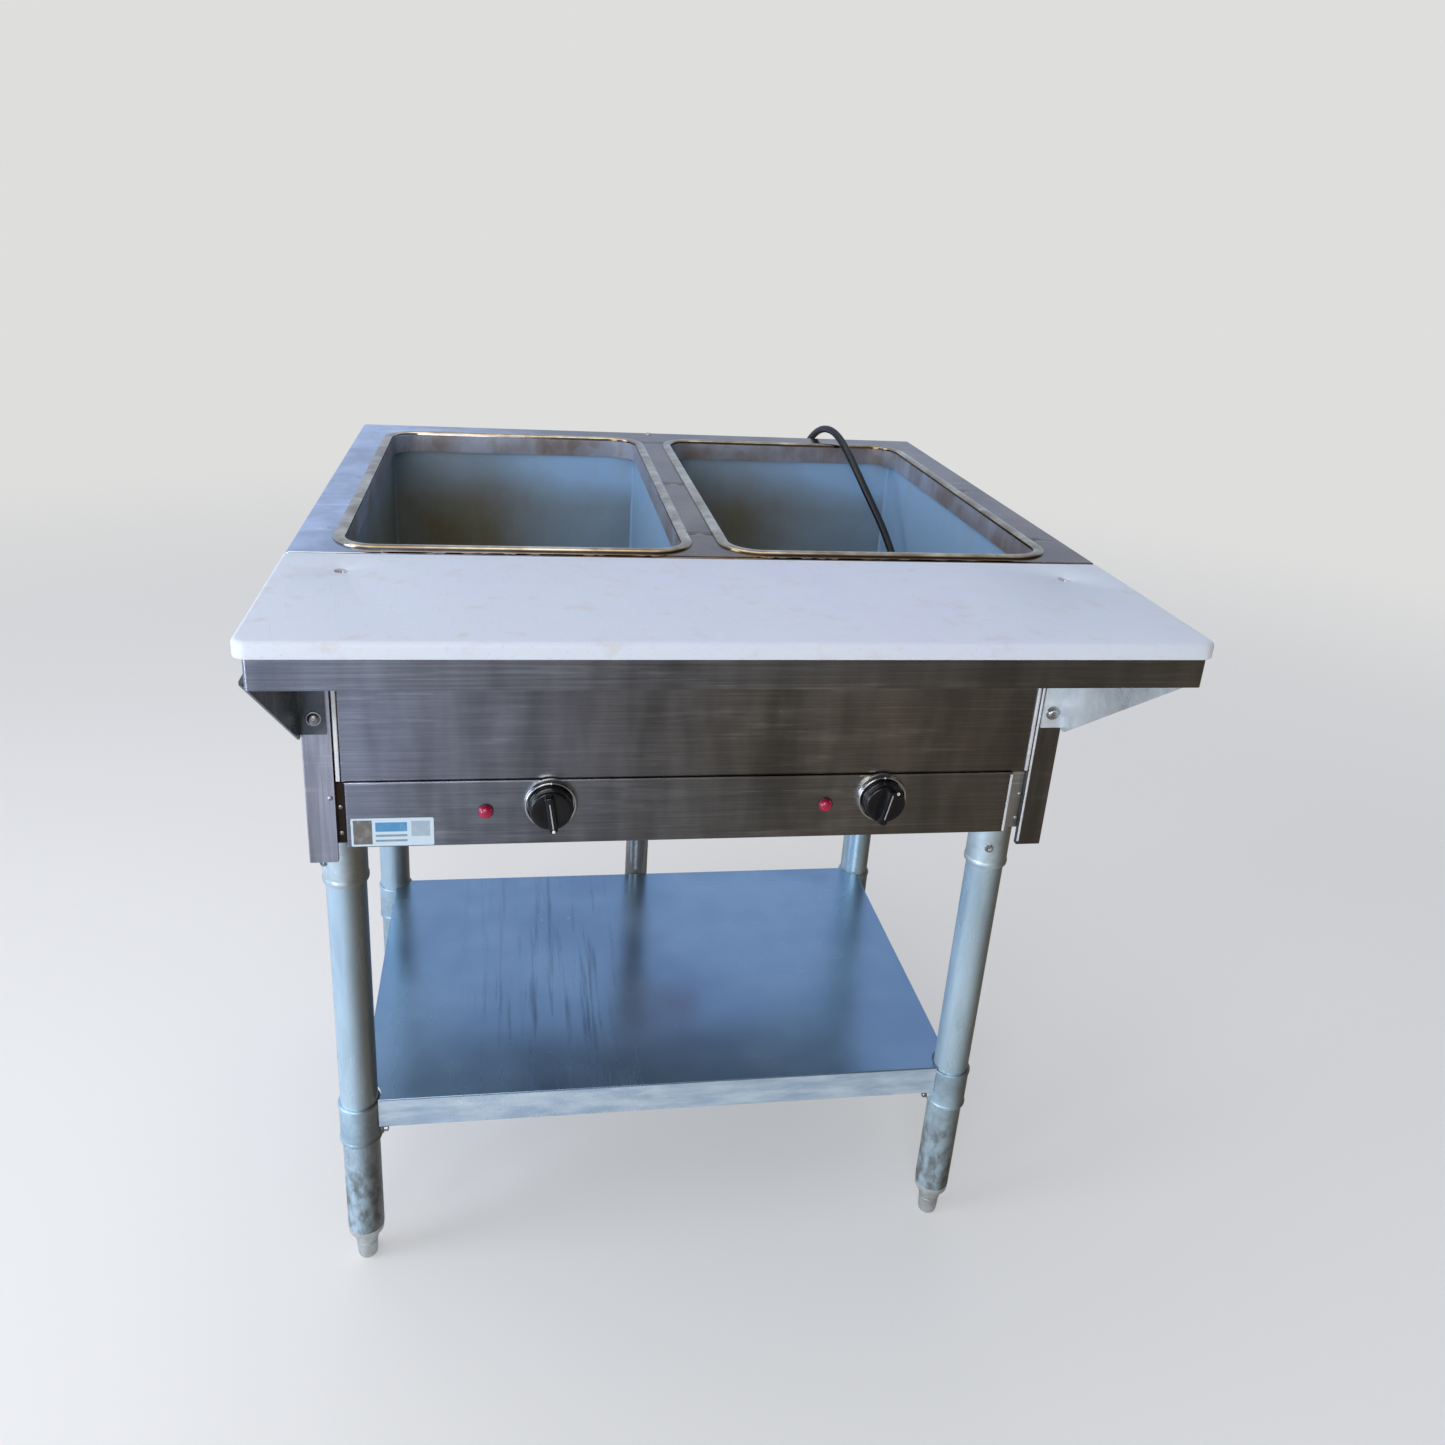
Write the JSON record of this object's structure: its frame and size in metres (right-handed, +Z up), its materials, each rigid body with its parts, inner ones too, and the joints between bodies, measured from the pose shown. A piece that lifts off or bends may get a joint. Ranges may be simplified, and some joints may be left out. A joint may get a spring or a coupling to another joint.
{
  "type": "steam table",
  "caption": "Electric hot-food steam table: stainless deck with two pan wells, cutting board shelf, controls, tubular legs, undershelf, drain and power cord.",
  "frame": {"origin": "on the floor, under the middle of the table's outline without its cord", "axes": "+Z up, +X to the right seen from the front, +Y to the back; the cutting board and knobs face -Y"},
  "size_m": [0.7476, 0.9003, 0.9189],
  "materials": {
    "deck_steel": "polished stainless sheet with handling marks",
    "body_steel": "brushed stainless sheet, grain along the width",
    "well_steel": "dull galvanised liner, stained by water",
    "galvanised": "galvanised steel, blue-grey, semi-matt",
    "pipe_steel": "polished stainless tube",
    "fastener_steel": "zinc plated",
    "foot_metal": "cast, dirty",
    "element_sheath": "oxidised element sheath",
    "insulation": "mineral fibre slab",
    "board_plastic": "white polyethylene, lightly scratched",
    "switch_plastic": "black moulded",
    "knob_plastic": "gloss black phenolic",
    "bezel_chrome": "bright plated",
    "lamp_red": "red translucent lens",
    "plate_label": "blank printed plate",
    "cord_rubber": "black flexible cord",
    "brass": "plain brass",
    "lever_red": "dipped red vinyl over a steel strip"
  },
  "bodies": {
    "frame": {"deck_top": "deck_steel", "well_left": "well_steel", "well_right": "well_steel", "heating_element_left": "element_sheath", "heating_element_right": "element_sheath", "element_clamps": "galvanised", "well_insulation": "insulation", "side_panel_left": "body_steel", "side_panel_right": "body_steel", "front_panel": "body_steel", "control_panel": "body_steel", "back_panel": "galvanised", "back_panel_screws": "fastener_steel", "bottom_pan": "galvanised", "panel_end_brackets": "galvanised", "panel_rivets": "fastener_steel", "board_shelf": "body_steel", "cutting_board": "board_plastic", "board_screws": "fastener_steel", "shelf_bracket_left": "galvanised", "shelf_bracket_right": "galvanised", "bracket_bolts": "fastener_steel", "leg_sockets": "galvanised", "socket_set_screws": "fastener_steel", "leg_front_left": "galvanised", "leg_front_right": "galvanised", "leg_back_left": "galvanised", "leg_back_right": "galvanised", "leg_inserts": "foot_metal", "heat_switch_left": "switch_plastic", "heat_switch_right": "switch_plastic", "knob_bezel_left": "bezel_chrome", "knob_bezel_right": "bezel_chrome", "indicator_light_left": "lamp_red", "indicator_light_right": "lamp_red", "rating_plate": "plate_label", "terminal_block": "switch_plastic", "internal_wiring": "cord_rubber", "strain_relief": "switch_plastic", "power_cord": "cord_rubber", "cord_coil": "cord_rubber", "cord_tail": "cord_rubber", "plug": "cord_rubber", "plug_blades": "brass", "drain_fittings": "brass", "drain_manifold": "pipe_steel", "drain_valve": "brass", "drain_pipe": "pipe_steel"},
    "knob_left": {"knob_left": "knob_plastic", "switch_shaft_left": "fastener_steel"},
    "knob_right": {"knob_right": "knob_plastic", "switch_shaft_right": "fastener_steel"},
    "foot_front_left": {"foot_front_left": "foot_metal"},
    "foot_front_right": {"foot_front_right": "foot_metal"},
    "foot_back_left": {"foot_back_left": "foot_metal"},
    "foot_back_right": {"foot_back_right": "foot_metal"},
    "undershelf": {"undershelf": "galvanised", "shelf_collars": "galvanised", "shelf_set_screws": "fastener_steel"},
    "drain_lever": {"drain_valve_lever": "lever_red"}
  },
  "joints": [
    {"name": "knob_left_turn", "type": "hinge", "parent": "frame", "child": "knob_left", "pos_m": [-0.143, -0.19, 0.646], "axis": [0, -1, 0], "continuous": true},
    {"name": "knob_right_turn", "type": "hinge", "parent": "frame", "child": "knob_right", "pos_m": [0.189, -0.19, 0.646], "axis": [0, -1, 0], "continuous": true},
    {"name": "undershelf_height", "type": "slide", "parent": "frame", "child": "undershelf", "axis": [0, 0, 1], "range_m": [-0.1, 0.09]},
    {"name": "drain_lever_turn", "type": "hinge", "parent": "frame", "child": "drain_lever", "pos_m": [0.008, 0.334, 0.47], "axis": [0, -1, 0], "range_deg": [-90, 0]},
    {"name": "foot_front_left_height", "type": "slide", "parent": "frame", "child": "foot_front_left", "axis": [0, 0, -1], "range_m": [0, 0.025]},
    {"name": "foot_front_right_height", "type": "slide", "parent": "frame", "child": "foot_front_right", "axis": [0, 0, -1], "range_m": [0, 0.025]},
    {"name": "foot_back_left_height", "type": "slide", "parent": "frame", "child": "foot_back_left", "axis": [0, 0, -1], "range_m": [0, 0.025]},
    {"name": "foot_back_right_height", "type": "slide", "parent": "frame", "child": "foot_back_right", "axis": [0, 0, -1], "range_m": [0, 0.025]}
  ]
}
